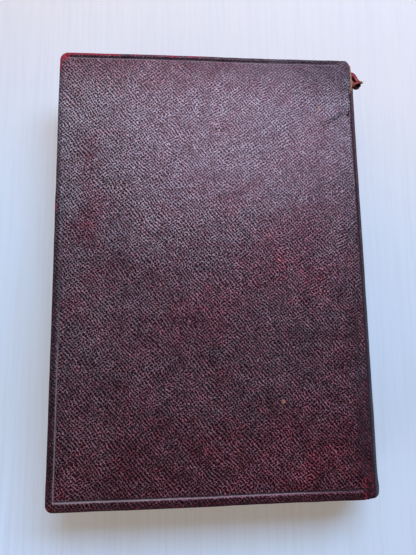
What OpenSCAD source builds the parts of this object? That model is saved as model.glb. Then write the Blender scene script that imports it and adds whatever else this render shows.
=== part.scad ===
// A closed leather-bound book that lies on its front cover, head towards +Y and spine towards +X.
// The origin is the middle of the front cover's outer face. The back cover is uppermost.

/* [Covers] */
// Height of a cover, head to tail
cover_h = 196; // [150:1:250]
// Width of a cover, fore-edge to joint
cover_w = 129.5; // [100:0.5:170]
// Thickness of the millboard
board_t = 2.4; // [1.8:0.1:4]
// Radius of the two fore-edge corners, in plan
corner_r = 2.6; // [2:0.1:6]

/* [Leather] */
// Thickness of the leather
leather_t = 0.7; // [0.5:0.05:0.9]
// Rounding of the leather over a board's edge
edge_r = 1.1; // [0.8:0.05:1.4]
// Thickness of the leather where it is pared and turned in
turn_in_t = 0.5; // [0.4:0.05:0.7]
// Width of the leather turned in over the inside of a board
turn_in_w = 15; // [10:0.5:20]

/* [Blind fillet] */
// Width of the impressed line
fillet_w = 1.1; // [0.6:0.1:1.4]
// Depth of the impressed line
fillet_depth = 0.3; // [0.1:0.05:0.35]
// Head edge to the middle of the line
fillet_head = 2.4; // [2.2:0.1:8]
// Tail edge to the middle of the line
fillet_tail = 4; // [2.2:0.1:8]
// Fore-edge to the middle of the line
fillet_fore = 3.1; // [2.2:0.1:8]
// Joint to the middle of the line
fillet_joint = 3.3; // [1.5:0.1:8]

/* [Joint] */
// Width of the pressed groove beside the spine
joint_w = 3.4; // [2.5:0.1:6]
// Depth of the groove below the cover
groove_depth = 0.75; // [0.3:0.05:0.9]
// Drop from the cover to the ridge along the spine
ridge_drop = 0.35; // [0.2:0.05:0.6]

/* [Spine] */
// How far the round of the spine stands out past its ridges
spine_bulge = 6.6; // [5:0.1:8.5]
// Thickness of the card that stiffens the spine leather
inlay_t = 0.7; // [0.4:0.1:1]
// Gap between the card and the linings, which lets the spine flex
hollow_gap = 0.5; // [0.3:0.05:0.8]
// Thickness of the leather across the foot of the spine
cap_t = 0.8; // [0.6:0.05:1]
// How far the tailcap reaches in over the tailband
cap_reach = 3.6; // [3:0.1:5]
// How far the rolled edge of the tailcap stands proud of the spine
cap_proud = 0.3; // [0.1:0.05:0.5]

/* [Text block] */
// Thickness of the leaves, between the flyleaves
block_t = 22; // [14:0.2:40]
// Margin by which the covers stand out past the leaves
square_w = 3; // [2.5:0.1:4.5]
// Hollow of the fore-edge
fore_hollow = 4.6; // [2:0.1:6]
// Thickness of an endpaper
paper_t = 0.2; // [0.15:0.01:0.3]
// Leather left showing round a pastedown
paste_margin = 4; // [2:0.5:8]

/* [Sewing and linings] */
// Number of sewing cords let into the spine
cord_count = 5; // [3:1:6]
// Diameter of a sewing cord
cord_d = 1.6; // [1:0.1:2]
// Clearance of a cord in its kerf
cord_gap = 0.1; // [0.05:0.05:0.2]
// Thickness of the mull
mull_t = 0.3; // [0.2:0.05:0.4]
// Thickness of the paper over the mull
lining_t = 0.3; // [0.2:0.05:0.5]
// Width of the mull pasted to a board
flange_w = 24; // [15:1:35]
// Length of a cord's frayed slip on a board
slip_len = 17; // [8:1:22]
// Width of a slip at its frayed end
slip_w = 9; // [5:0.5:14]
// Length of a headband's cloth down the spine
skirt_h = 12; // [8:0.5:16]
// Clearance of a headband under the tailcap
band_gap = 0.2; // [0.1:0.05:0.3]

/* [Torn head of the spine] */
// Depth of spine leather lost beside the back joint
tear_depth = 14; // [8:0.5:25]
// Depth of the stiffening card lost at the head
inlay_loss = 7; // [4:0.5:20]
// Outer radius of the curled scrap of leather
curl_r = 2; // [1.2:0.1:3]
// Length of the scrap's curled edge
curl_len = 4.6; // [2:0.2:8]
// Drop of the scrap below the back cover
curl_drop = 2.2; // [1:0.1:6]
// Gap between the spine and the curl
curl_gap = 1; // [0.2:0.1:2]

/* [Hidden] */
$fn = 64;

// A little more than nothing, so that a cut passes through a face
over = 1;

// Plan of a cover
fore_x = -cover_w / 2;
joint_x = cover_w / 2;
ridge_x = joint_x + joint_w;
half_h = cover_h / 2;

// Heights through the book
wrap_t = leather_t + board_t + turn_in_t;
cover_t = wrap_t + paper_t;
book_t = 2 * (cover_t + paper_t) + block_t;
mid_z = book_t / 2;
block_z = cover_t + paper_t;
panel_z = turn_in_t + board_t;

// Round of the spine, from ridge to ridge
half_chord = mid_z - ridge_drop;
spine_r = (pow(half_chord, 2) + pow(spine_bulge, 2)) / (2 * spine_bulge);
spine_x = ridge_x + spine_bulge - spine_r;
spine_angle = asin(half_chord / spine_r);

// Radii of the layers under the spine leather
inlay_r = spine_r - leather_t;
hollow_r = inlay_r - inlay_t;
lining_r = hollow_r - hollow_gap;
mull_r = lining_r - lining_t;
block_r = mull_r - mull_t;
turned_t = hollow_gap * 0.8;

// Leaves
block_h = cover_h - 2 * square_w;
block_fore = fore_x + square_w;
lip_x = joint_x + 1.5 * paper_t;
shoulder_x = spine_x + block_r * cos(spine_angle);
shoulder_rise = block_r * sin(spine_angle);
fore_r = (pow(block_t / 2, 2) + pow(fore_hollow, 2)) / (2 * fore_hollow);

// Headbands
band_r = (square_w - cap_t - band_gap) / 2;

// Inside of a board
paste_half_h = half_h - paste_margin;
window_half_h = half_h - turn_in_w;
slip_t = turn_in_t / 2;
slip_root_w = 1.4 * cord_d;
cord_pitch = 2 * (window_half_h - slip_w) / (cord_count - 1);

// Torn edge across the spine: share of the thickness from the front cover, share of tear_depth
tear_edge = [
    [-0.05, 0.3], [0.18, 0.22], [0.34, 0.46], [0.5, 0.38], [0.66, 0.62], [0.8, 0.56], [0.9, 0.88], [1.05, 1]
];

// Curled scrap, which stands on the torn leather
curl_wall = leather_t * 0.9;
curl_z = book_t - curl_drop - curl_len;
curl_face = sqrt(pow(spine_r, 2) - pow(mid_z - curl_drop, 2));
curl_x = spine_x + curl_face + curl_gap + curl_r;
curl_y = half_h - tear_depth + curl_r;

// Draws a front-cover copy of something made for the back cover
module flip() {
    translate([0, 0, book_t]) mirror([0, 0, 1]) children();
}

// Places a cover piece, drawn from the inner face of its turn-ins outwards, under the back cover's outer face
module on_back_cover() {
    translate([0, 0, book_t - wrap_t]) children();
}

// Extrudes an outline drawn in X and Z along Y
module along_y(y0, y1) {
    translate([0, y1, 0]) rotate([90, 0, 0]) linear_extrude(y1 - y0) children();
}

// Turns an outline, drawn as radius and height up the spine, about the centre of the spine's round
module round_spine(angle) {
    translate([spine_x, 0, mid_z]) rotate([90, 0, 0]) rotate([0, 0, -angle])
        rotate_extrude(angle = 2 * angle) mirror([0, 1]) children();
}

// A layer of the spine between two radii
module spine_layer(r0, r1, y0, y1, angle = spine_angle) {
    round_spine(angle) translate([r0, y0]) square([r1 - r0, y1 - y0]);
}

module box(x0, x1, y0, y1, z0, z1) {
    translate([x0, y0, z0]) cube([x1 - x0, y1 - y0, z1 - z0]);
}

// Outline of a cover in plan, drawn in from its edges on three sides
module cover_plan(inset) {
    r = corner_r - inset;
    x0 = fore_x + inset;
    y0 = half_h - inset;
    translate([x0 + r, -y0]) square([joint_x - x0 - r, 2 * y0]);
    translate([x0, r - y0]) square([r + (joint_x - x0) / 2, 2 * (y0 - r)]);
    for (side = [-1, 1]) translate([x0 + r, side * (y0 - r)]) circle(r);
}

// The rounded edge of a covered board, round its three turned-in sides
module soft_edge() {
    straight_h = 2 * (half_h - corner_r);
    corner_x = fore_x + corner_r;
    translate([fore_x + edge_r, straight_h / 2, 0]) rotate([90, 0, 0]) cylinder(r = edge_r, h = straight_h);
    for (side = [-1, 1]) {
        translate([corner_x, side * (half_h - edge_r), 0])
            rotate([0, 90, 0]) cylinder(r = edge_r, h = joint_x - corner_x);
        translate([corner_x, side * (half_h - corner_r), 0]) rotate([0, 0, side > 0 ? 90 : 180])
            rotate_extrude(angle = 90) translate([corner_r - edge_r, 0]) intersection() {
                circle(edge_r);
                translate([0, -edge_r]) square([edge_r, 2 * edge_r]);
            }
    }
}

// The outside of a covered board, from its turn-ins' inner face up
module covered_board() {
    linear_extrude(wrap_t) cover_plan(edge_r);
    translate([0, 0, edge_r]) linear_extrude(wrap_t - 2 * edge_r) cover_plan(0);
    for (level = [edge_r, wrap_t - edge_r]) translate([0, 0, level]) soft_edge();
}

// Plan of the impressed line's frame, grown to either side of its middle
module fillet_plan(grow) {
    x0 = fore_x + fillet_fore - grow;
    x1 = joint_x - fillet_joint + grow;
    y0 = fillet_tail - half_h - grow;
    y1 = half_h - fillet_head + grow;
    translate([x0, y0]) square([x1 - x0, y1 - y0]);
}

module cover_leather() {
    color([0.27, 0.14, 0.16]) on_back_cover() difference() {
        covered_board();
        // the board
        translate([0, 0, turn_in_t]) linear_extrude(board_t) cover_plan(leather_t);
        // the inside of the board, between the turn-ins
        box(fore_x + turn_in_w, joint_x + over, -window_half_h, window_half_h, -over, panel_z);
        // the endpaper at the board's joint edge
        box(joint_x - paper_t, joint_x + over, -paste_half_h, paste_half_h, -over, panel_z);
        // the impressed line
        translate([0, 0, wrap_t - fillet_depth]) linear_extrude(fillet_depth + over) difference() {
            fillet_plan(fillet_w / 2);
            fillet_plan(-fillet_w / 2);
        }
    }
}

module board() {
    color([0.55, 0.48, 0.4]) on_back_cover() translate([0, 0, turn_in_t]) linear_extrude(board_t)
        intersection() {
            cover_plan(leather_t);
            translate([fore_x, -half_h]) square([cover_w - paper_t, cover_h]);
        }
}

// The endpaper's pasted leaf: over the turn-ins, sunk between them, and round the board's joint edge
module pastedown() {
    x0 = fore_x + turn_in_w;
    x1 = joint_x - flange_w;
    color([0.86, 0.8, 0.68]) on_back_cover() {
        difference() {
            union() {
                box(fore_x + paste_margin, joint_x, -paste_half_h, paste_half_h, -paper_t, 0);
                box(x0, x1, -window_half_h, window_half_h, -paper_t, turn_in_t);
            }
            box(x0 + paper_t, x1 - paper_t, paper_t - window_half_h, window_half_h - paper_t,
                -2 * paper_t, turn_in_t - paper_t);
        }
        box(joint_x - paper_t, joint_x, -paste_half_h, paste_half_h, -paper_t, panel_z);
    }
}

// Plan of the frayed ends of the sewing cords
module slip_plan() {
    x0 = joint_x - paper_t;
    for (i = [0:cord_count - 1]) translate([0, cord_y(i)])
        polygon([[x0, -slip_root_w / 2], [x0, slip_root_w / 2], [x0 - slip_len, slip_w / 2], [x0 - slip_len, -slip_w / 2]]);
}

module cord_slips() {
    color([0.72, 0.63, 0.48]) on_back_cover() translate([0, 0, turn_in_t - slip_t]) linear_extrude(slip_t) slip_plan();
}

module mull_flange() {
    color([0.8, 0.76, 0.66]) on_back_cover() difference() {
        box(joint_x - flange_w, joint_x - paper_t, -window_half_h, window_half_h, 0, turn_in_t);
        translate([0, 0, turn_in_t - slip_t]) linear_extrude(slip_t + over) slip_plan();
    }
}

// Outline of the leaves: hollow fore-edge, flat sides, and a round back with shoulders
module block_outline() {
    block_top = block_z + block_t;
    difference() {
        union() {
            translate([block_fore, block_z]) square([lip_x - block_fore, block_t]);
            intersection() {
                translate([spine_x, mid_z]) circle(block_r, $fn = 128);
                polygon([
                    [lip_x - over, block_z], [lip_x, block_z], [shoulder_x, mid_z - shoulder_rise],
                    [spine_x + spine_r, mid_z - shoulder_rise], [spine_x + spine_r, mid_z + shoulder_rise],
                    [shoulder_x, mid_z + shoulder_rise], [lip_x, block_top], [lip_x - over, block_top]
                ]);
            }
        }
        translate([block_fore + fore_hollow - fore_r, mid_z]) circle(fore_r, $fn = 128);
    }
}

function cord_y(i) = cord_pitch * (i - (cord_count - 1) / 2);

module text_block() {
    kerf = cord_d + 2 * cord_gap;
    color([0.87, 0.82, 0.7]) difference() {
        along_y(-block_h / 2, block_h / 2) block_outline();
        for (i = [0:cord_count - 1])
            spine_layer(block_r - kerf, spine_r, cord_y(i) - kerf / 2, cord_y(i) + kerf / 2, spine_angle + 10);
    }
}

module sewing_cords() {
    color([0.72, 0.63, 0.48]) for (i = [0:cord_count - 1])
        round_spine(spine_angle - 4) translate([block_r - cord_gap - cord_d / 2, cord_y(i)]) circle(cord_d / 2);
}

module mull_lining() {
    y1 = block_h / 2 - skirt_h;
    color([0.8, 0.76, 0.66]) spine_layer(block_r, mull_r, -y1, y1);
}

module paper_lining() {
    color([0.62, 0.52, 0.38]) spine_layer(mull_r, lining_r, -block_h / 2, block_h / 2);
}

// A bead on the end of the leaves and a cloth skirt down the spine, drawn for the head
module end_band() {
    y0 = block_h / 2;
    color([0.62, 0.16, 0.14]) {
        round_spine(spine_angle - 5) translate([block_r - 0.9 * band_r, y0 + band_r]) circle(band_r);
        spine_layer(block_r, mull_r, y0 - skirt_h, y0 + band_r, spine_angle - 5);
    }
}

// The endpaper's free leaf, with a lip up the shoulder of the leaves
module flyleaf() {
    top = block_z + block_t;
    tip = [shoulder_x, mid_z + shoulder_rise];
    slope = tip - [lip_x, top];
    side = [-slope[1], slope[0]] * paper_t / norm(slope);
    color([0.86, 0.8, 0.68]) along_y(-block_h / 2, block_h / 2)
        polygon([
            [block_fore, top], [lip_x, top], tip, tip + side,
            [lip_x, top] + side + [0, paper_t / 2], [joint_x, top + paper_t], [block_fore, top + paper_t]
        ]);
}

module spine_inlay() {
    color([0.6, 0.5, 0.38])
        spine_layer(hollow_r, inlay_r, cap_t - half_h, half_h - inlay_loss, spine_angle - 3);
}

// The curled scrap: a tongue that leaves the torn leather, then bends back on itself
module scrap() {
    root_y = curl_y - curl_r;
    translate([curl_x, curl_y, curl_z]) rotate([0, 0, -90])
        rotate_extrude(angle = 285) translate([curl_r - curl_wall, 0]) square([curl_wall, curl_len]);
    difference() {
        box(spine_x, curl_x, root_y, root_y + curl_wall, curl_z, curl_z + curl_len);
        translate([spine_x, curl_y, mid_z]) rotate([90, 0, 0]) cylinder(r = inlay_r, h = 2 * curl_r);
    }
}

// The leather of the spine, whole at the tail and torn away at the head
module spine_leather() {
    cap_y = cap_t - half_h;
    bead_r = (leather_t + cap_proud) / 2;
    color([0.33, 0.24, 0.25]) {
        difference() {
            spine_layer(inlay_r, spine_r, -half_h, half_h);
            translate([spine_x, 0, 0]) rotate([90, 0, 90]) linear_extrude(2 * spine_r)
                polygon([
                    for (p = tear_edge) [half_h - p[1] * tear_depth, p[0] * book_t],
                    [half_h + over, 1.05 * book_t], [half_h + over, -0.05 * book_t]
                ]);
        }
        spine_layer(spine_r - cap_reach, inlay_r, -half_h, cap_y);
        spine_layer(hollow_r - turned_t, hollow_r, -half_h, turn_in_w - half_h, spine_angle - 3);
        round_spine(spine_angle) translate([inlay_r + bead_r, bead_r - half_h]) circle(bead_r);
        scrap();
    }
}

// The leather over the groove beside the spine, from the cover to the ridge
module joint_leather() {
    steps = 12;
    end = [ridge_x - leather_t * cos(spine_angle), book_t - ridge_drop - leather_t * sin(spine_angle)];
    function outer(u) = [
        joint_x + u * joint_w,
        book_t - u * ridge_drop - groove_depth * pow(sin(180 * u), 2)
    ];
    function inner(u) = [
        joint_x + u * (end[0] - joint_x),
        outer(u)[1] - leather_t * (1 - u) - u * (book_t - ridge_drop - end[1])
    ];
    color([0.27, 0.14, 0.16]) along_y(-half_h, half_h)
        polygon([
            for (i = [0:steps]) outer(i / steps),
            for (i = [steps:-1:0]) inner(i / steps)
        ]);
}

text_block();
sewing_cords();
mull_lining();
paper_lining();
end_band();  // head_band
mirror([0, 1, 0]) end_band();  // tail_band
flip() flyleaf();  // front_flyleaf
flyleaf();  // back_flyleaf
spine_inlay();
spine_leather();
flip() joint_leather();  // front_joint_leather
joint_leather();  // back_joint_leather
flip() board();  // front_board
flip() cover_leather();  // front_cover_leather
flip() pastedown();  // front_pastedown
flip() mull_flange();  // front_mull_flange
flip() cord_slips();  // front_cord_slips
board();  // back_board
cover_leather();  // back_cover_leather
pastedown();  // back_pastedown
mull_flange();  // back_mull_flange
cord_slips();  // back_cord_slips
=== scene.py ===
"""The looks of an antique leather book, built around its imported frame.

The book lies on its front cover, with the back cover on top, the head towards +Y and the spine
towards +X. Sizes in the code are in millimetres, in the frame's axes, until make_mesh() turns them
into metres. On a cover, u runs from the fore-edge to the spine and v from the head to the tail.
"""

import math

import bpy
import numpy as np
from mathutils import Matrix, Vector


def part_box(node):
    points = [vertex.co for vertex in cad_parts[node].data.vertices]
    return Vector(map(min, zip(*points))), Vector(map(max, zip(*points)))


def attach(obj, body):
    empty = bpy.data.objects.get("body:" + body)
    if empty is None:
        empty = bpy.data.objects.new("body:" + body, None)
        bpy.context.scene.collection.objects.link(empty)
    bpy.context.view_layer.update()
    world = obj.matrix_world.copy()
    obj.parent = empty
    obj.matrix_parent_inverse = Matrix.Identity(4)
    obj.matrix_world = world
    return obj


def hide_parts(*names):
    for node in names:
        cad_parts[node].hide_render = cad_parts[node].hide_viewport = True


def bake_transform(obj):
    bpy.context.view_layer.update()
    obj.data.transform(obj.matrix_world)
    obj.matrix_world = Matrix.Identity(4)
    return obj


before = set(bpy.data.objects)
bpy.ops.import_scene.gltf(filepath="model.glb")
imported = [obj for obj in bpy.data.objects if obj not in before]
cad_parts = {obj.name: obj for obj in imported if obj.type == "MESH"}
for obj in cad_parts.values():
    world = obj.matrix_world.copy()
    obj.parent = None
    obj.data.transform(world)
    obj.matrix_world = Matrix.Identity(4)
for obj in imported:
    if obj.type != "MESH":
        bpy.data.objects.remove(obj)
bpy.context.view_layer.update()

MM = 0.001
SEED = 11


def box_mm(node):
    """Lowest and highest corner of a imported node, in millimetres."""
    low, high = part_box(node)
    return np.array(low) / MM, np.array(high) / MM


# Sizes read from the frame
cover_low, cover_high = box_mm("back_cover_leather")
FORE_X, JOINT_X = cover_low[0], cover_high[0]
HALF_H, TOP = cover_high[1], cover_high[2]
COVER_H = 2 * HALF_H
WRAP_T = TOP - cover_low[2]
MID_Z = TOP / 2
RIDGE_X = box_mm("back_joint_leather")[1][0]
GROOVE_W = RIDGE_X - JOINT_X
JOINT_U, RIDGE_U = JOINT_X - FORE_X, RIDGE_X - FORE_X
block_low, block_high = box_mm("text_block")
leaf_low, leaf_high = box_mm("back_flyleaf")

# Sizes of the leather
LEATHER_T = 0.7
SHEET_T = 0.5
EDGE_R = 1.1
RIDGE_DROP = 0.35

# The round of the spine, and the round back of the leaves inside it
SPINE_H = MID_Z - RIDGE_DROP
SPINE_BULGE = box_mm("spine_inlay")[1][0] + LEATHER_T - RIDGE_X
SPINE_R = (SPINE_H**2 + SPINE_BULGE**2) / (2 * SPINE_BULGE)
SPINE_X = RIDGE_X + SPINE_BULGE - SPINE_R
SPINE_ANGLE = math.asin(SPINE_H / SPINE_R)
BACK_R = SPINE_R - 2.5


def on_round(radius, angle, y):
    """Points about the spine's centre line, from their radius, their angle and Y."""
    x, z = SPINE_X + radius * np.cos(angle), MID_Z + radius * np.sin(angle)
    return np.stack([x, y, z], 2).reshape(-1, 3)


def smooth(start, end, x):
    """0 before start, 1 after end, and a soft step between them."""
    t = np.clip((np.asarray(x, float) - start) / (end - start), 0, 1)
    return t * t * (3 - 2 * t)


def fall(start, end, x):
    """1 before start, 0 after end, and a soft step between them."""
    return 1 - smooth(start, end, x)


def between(rise, risen, falling, fallen, x):
    """0 up to rise, 1 from risen to falling, and 0 again from fallen on."""
    return smooth(rise, risen, x) * fall(falling, fallen, x)


def spot(x, centre, width):
    """A soft bell of height 1."""
    return np.exp(-(((x - centre) / width) ** 2))


def round_spot(x, y, width):
    """A soft round bell of height 1 about the origin."""
    return spot(np.hypot(x, y), 0, width)


def ripple(x, y, wavelength, seed, waves=9):
    """A smooth random field of about -1 to 1, with bumps about a wavelength across."""
    rng = np.random.default_rng(SEED * 1000 + seed)
    total = np.zeros(np.broadcast(x, y).shape)
    for _ in range(waves):
        heading = rng.uniform(0, 2 * math.pi)
        turns = 2 * math.pi / (wavelength * rng.uniform(0.7, 1.5))
        phase = rng.uniform(0, 2 * math.pi)
        total += np.sin(turns * (x * math.cos(heading) + y * math.sin(heading)) + phase)
    return total / math.sqrt(waves) / 1.5


def stations(start, end, coarse, fine, places=(), reach=1.5):
    """Positions from start to end, coarse apart, but fine apart within reach of any of the places."""
    found = [start]
    while found[-1] < end - fine * 0.5:
        gap = min((abs(found[-1] - p) for p in places), default=math.inf)
        step = fine + (coarse - fine) * smooth(reach, reach + 3 * coarse, gap)
        found.append(found[-1] + float(step))
    found[-1] = end
    return np.array(found)


def grid_faces(rows, columns, first=0):
    """Quads of a grid of points that are stored row by row."""
    r, c = np.meshgrid(np.arange(rows - 1), np.arange(columns - 1), indexing="ij")
    corner = (first + r * columns + c).ravel()
    return np.stack([corner, corner + 1, corner + columns + 1, corner + columns], 1).tolist()


def tube_faces(count, rings):
    """Quads between closed rings of points that are stored one after the other."""
    a = np.arange(count * (rings - 1))
    b = np.where(a % count == count - 1, a - count + 1, a + 1)
    return np.stack([a, b, b + count, a + count], 1).tolist()


def flipped(faces):
    """The same faces, seen from their other side."""
    return [face[::-1] for face in faces]


def make_mesh(name, points, faces, attributes=None, smooth_shaded=True):
    """An object from points in millimetres, with one value or vector a point for each attribute."""
    mesh = bpy.data.meshes.new(name)
    mesh.from_pydata((np.asarray(points) * MM).tolist(), [], faces)
    for key, values in (attributes or {}).items():
        values = np.asarray(values, np.float32)
        kind, field = ("FLOAT_VECTOR", "vector") if values.ndim == 2 else ("FLOAT", "value")
        mesh.attributes.new(key, kind, "POINT").data.foreach_set(field, values.ravel())
    if smooth_shaded:
        mesh.polygons.foreach_set("use_smooth", np.ones(len(mesh.polygons), bool))
    mesh.update()
    piece = bpy.data.objects.new(name, mesh)
    bpy.context.scene.collection.objects.link(piece)
    return piece


def apply_modifiers(piece):
    """Turns a piece's modifiers into its mesh."""
    graph = bpy.context.evaluated_depsgraph_get()
    mesh = bpy.data.meshes.new_from_object(piece.evaluated_get(graph))
    piece.modifiers.clear()
    piece.data = mesh


def thicken(piece, thickness):
    """Gives an open sheet its thickness, on the side away from its normals."""
    solid = piece.modifiers.new("Thickness", "SOLIDIFY")
    solid.thickness = thickness * MM
    solid.offset = -1
    solid.use_even_offset = True
    apply_modifiers(piece)


# Materials


class Nodes:
    """A node tree, with short calls for its nodes."""

    def __init__(self, tree):
        self.tree = tree

    def set(self, socket, value):
        if isinstance(value, bpy.types.NodeSocket):
            self.tree.links.new(value, socket)
        elif isinstance(value, (tuple, list)) and len(value) == 3 and socket.type == "RGBA":
            socket.default_value = (*value, 1)
        else:
            socket.default_value = value

    def node(self, kind, inputs, **settings):
        made = self.tree.nodes.new(kind)
        for key, value in settings.items():
            setattr(made, key, value)
        for key, value in inputs.items():
            self.set(made.inputs[key], value)
        return made

    def attribute(self, name, output="Fac"):
        return self.node("ShaderNodeAttribute", {}, attribute_name=name).outputs[output]

    def place(self):
        """The place on the object, in metres."""
        return self.node("ShaderNodeTexCoord", {}).outputs["Object"]

    def place_mm(self):
        """The place on the object, in millimetres."""
        return self.scaled(self.place(), 1 / MM)

    def math(self, operation, a, b=0.0, c=0.0, clamp=False):
        inputs = {0: a, 1: b, 2: c}
        return self.node("ShaderNodeMath", inputs, operation=operation, use_clamp=clamp).outputs[0]

    def times(self, a, b):
        return self.math("MULTIPLY", a, b)

    def plus(self, a, b, clamp=False):
        return self.math("ADD", a, b, clamp=clamp)

    def scale_add(self, value, scale, offset, clamp=False):
        """A value times a scale, plus an offset."""
        return self.math("MULTIPLY_ADD", value, scale, offset, clamp)

    def vector(self, operation, a, b=(0, 0, 0)):
        made = self.node("ShaderNodeVectorMath", {0: a, 1: b}, operation=operation)
        return made.outputs["Value" if operation == "DOT_PRODUCT" else "Vector"]

    def scaled(self, a, scale):
        made = self.node("ShaderNodeVectorMath", {0: a, "Scale": scale}, operation="SCALE")
        return made.outputs["Vector"]

    def noise(self, at, scale, detail=2.0, roughness=0.5, output="Fac"):
        inputs = {"Vector": at, "Scale": scale, "Detail": detail, "Roughness": roughness}
        return self.node("ShaderNodeTexNoise", inputs).outputs[output]

    def cells(self, at, scale):
        """The distance to the nearest of a scatter of points."""
        return self.node("ShaderNodeTexVoronoi", {"Vector": at, "Scale": scale}).outputs["Distance"]

    def step(self, value, low, high, to_low=0.0, to_high=1.0):
        """A soft step of value from low to high."""
        inputs = {"Value": value, "From Min": low, "From Max": high, "To Min": to_low, "To Max": to_high}
        return self.node("ShaderNodeMapRange", inputs, interpolation_type="SMOOTHSTEP").outputs[0]

    def mix(self, share, a, b, blend="MIX"):
        made = self.node("ShaderNodeMix", {}, data_type="RGBA", blend_type=blend, clamp_factor=True)
        sockets = {"Factor": share, "A": a, "B": b}
        for socket in made.inputs:
            if socket.enabled and socket.name in sockets:
                self.set(socket, sockets[socket.name])
        return next(o for o in made.outputs if o.enabled)

    def ramp(self, value, stops):
        """A colour for each place along value: stops are (place, colour)."""
        made = self.node("ShaderNodeValToRGB", {"Fac": value})
        ramp = made.color_ramp
        while len(ramp.elements) < len(stops):
            ramp.elements.new(0.5)
        for element, (place, colour) in zip(ramp.elements, stops):
            element.position = place
            element.color = (*colour, 1)
        return made.outputs["Color"]

    def bump(self, height, distance, strength=1.0):
        inputs = {"Height": height, "Distance": distance * MM, "Strength": strength}
        return self.node("ShaderNodeBump", inputs).outputs["Normal"]


class Paint(Nodes):
    """A procedural material, with its shader."""

    def __init__(self, name, roughness, specular):
        self.material = bpy.data.materials.new(name)
        self.material.use_nodes = True
        super().__init__(self.material.node_tree)
        self.shader = self.tree.nodes["Principled BSDF"]
        self.set(self.shader.inputs["Roughness"], roughness)
        self.set(self.shader.inputs["Specular IOR Level"], specular)

    def finish(self, colour, roughness=None, normal=None):
        for key, value in (("Base Color", colour), ("Roughness", roughness), ("Normal", normal)):
            if value is not None:
                self.set(self.shader.inputs[key], value)
        return self.material


def dress(piece, material):
    """Gives a piece one material."""
    piece.data.materials.clear()
    piece.data.materials.append(material)


# Grain of the leather: two crossing sets of ridges, as (heading in degrees, pitch in millimetres)
GRAIN_MAIN = (40, 1.24)
GRAIN_CROSS = (125, 1.14)
GRAIN_SHARE = 0.93
GRAIN_STEP = (1.62, 1.96)

# The leather's colours, from the pits of the grain to its ridges
SKIN_STOPS = (
    (0.0, (0.002, 0.0001, 0.0005)),
    (0.35, (0.014, 0.0006, 0.0025)),
    (0.65, (0.058, 0.0064, 0.0130)),
    (1.0, (0.32, 0.118, 0.146)),
)
MOTTLE_PLACES = (0.30, 0.5, 0.72)
CRIMSON = ((0.050, 0.004, 0.008), (0.22, 0.012, 0.028), (0.42, 0.065, 0.085))
TAN_FIBRES = ((0.085, 0.028, 0.018), (0.32, 0.135, 0.075), (0.66, 0.40, 0.25))
LEATHER_MASKS = ("worn_flat", "rub", "raw", "shade", "red", "turn", "polish_and_highlight", "dull", "dust_and_sheen", "deep_shade")


def stripes(paint, at, heading, pitch):
    """Soft ridges across a heading, 0 in the valleys and 1 on the ridges."""
    angle = math.radians(heading)
    along = paint.vector("DOT_PRODUCT", at, (math.cos(angle), math.sin(angle), 0))
    wave = paint.math("SINE", paint.times(along, 2 * math.pi / pitch))
    return paint.scale_add(wave, 0.5, 0.5)


def leather_grain(paint, flat, turn, pebble, fine):
    """The cross grain, 0 in its pits and 1 on its ridges. It wanders, so its rows bend and break."""
    middle = (0.5, 0.5, 0.5)
    wander = paint.vector("SUBTRACT", paint.noise(flat, 0.08, 1.5, output="Color"), middle)
    jitter = paint.vector("SUBTRACT", paint.noise(flat, 0.9, 2.0, output="Color"), middle)
    at = paint.vector("ADD", flat, paint.scaled(wander, 3.6))
    at = paint.vector("ADD", at, paint.scaled(jitter, 1.5))
    lean = paint.scale_add(paint.noise(flat, 0.22, 2.0), 0.36, -0.18)
    lean = paint.plus(lean, paint.scale_add(turn, -0.06, 0.04))
    main = paint.times(stripes(paint, at, *GRAIN_MAIN), paint.plus(GRAIN_SHARE, lean))
    cross = paint.times(stripes(paint, at, *GRAIN_CROSS), paint.math("SUBTRACT", GRAIN_SHARE, lean))
    grain = paint.scale_add(pebble, 0.9, paint.math("MAXIMUM", main, cross))
    return paint.step(paint.plus(fine, grain), *GRAIN_STEP)


def dyed_skin(paint, flat, grain, cloudy, mask):
    """The colour of the dyed leather: dark in the grain's pits, clouded and tinted, with painted glints and a
    painted pale sheen on its crests.
    """
    patchy = paint.noise(flat, 0.16, 2.0, 0.6)
    skin = paint.ramp(grain, SKIN_STOPS)
    # Painted glints: pale specks on the grain's ridges
    painted_glints = paint.times(paint.step(paint.noise(flat, 2.3, 1.0), 0.56, 0.68), grain)
    skin = paint.mix(paint.times(painted_glints, 0.6), skin, (0.30, 0.25, 0.29))
    rubbed_flat = paint.mix(cloudy, (0.013, 0.008, 0.012), (0.046, 0.036, 0.045))
    skin = paint.mix(paint.times(mask["worn_flat"], 0.85), skin, rubbed_flat)
    clouds = paint.step(paint.scale_add(patchy, 0.6, paint.times(cloudy, 0.4)), 0.32, 0.68, 0.55, 1.32)
    wide = paint.step(paint.noise(flat, 0.035, 3.0, 0.6), 0.3, 0.7, 0.80, 1.20)
    skin = paint.scaled(skin, paint.times(clouds, wide))
    flecks = paint.step(paint.noise(flat, 0.33, 3.0, 0.7), 0.40, 0.66)
    skin = paint.mix(flecks, paint.mix(1.0, skin, (0.74, 1.0, 1.06), "MULTIPLY"), skin)
    tint = paint.scale_add(paint.noise(flat, 0.05, 3.0, 0.6), 1.2, -0.60, clamp=True)
    tint = paint.plus(paint.plus(tint, mask["red"]), paint.times(flecks, 0.3), clamp=True)
    skin = paint.mix(paint.times(tint, 0.8), skin, (1.40, 0.56, 0.66), "MULTIPLY")
    # Painted sheen: a pale bluish grey laid on the grain's crests, strongest towards the head
    painted_sheen = paint.times(mask["dust_and_sheen"], grain)
    painted_sheen = paint.times(painted_sheen, paint.scale_add(patchy, 1.6, 0.2))
    painted_sheen = paint.times(painted_sheen, paint.scale_add(tint, -0.85, 1.1))
    return paint.mix(painted_sheen, skin, (0.46, 0.48, 0.56))


def mottled(paint, pebble, fine, fine_share, colours):
    """Three colours, mottled by two noises."""
    value = paint.scale_add(pebble, 1 - fine_share, paint.times(fine, fine_share))
    return paint.ramp(value, list(zip(MOTTLE_PLACES, colours)))


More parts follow.
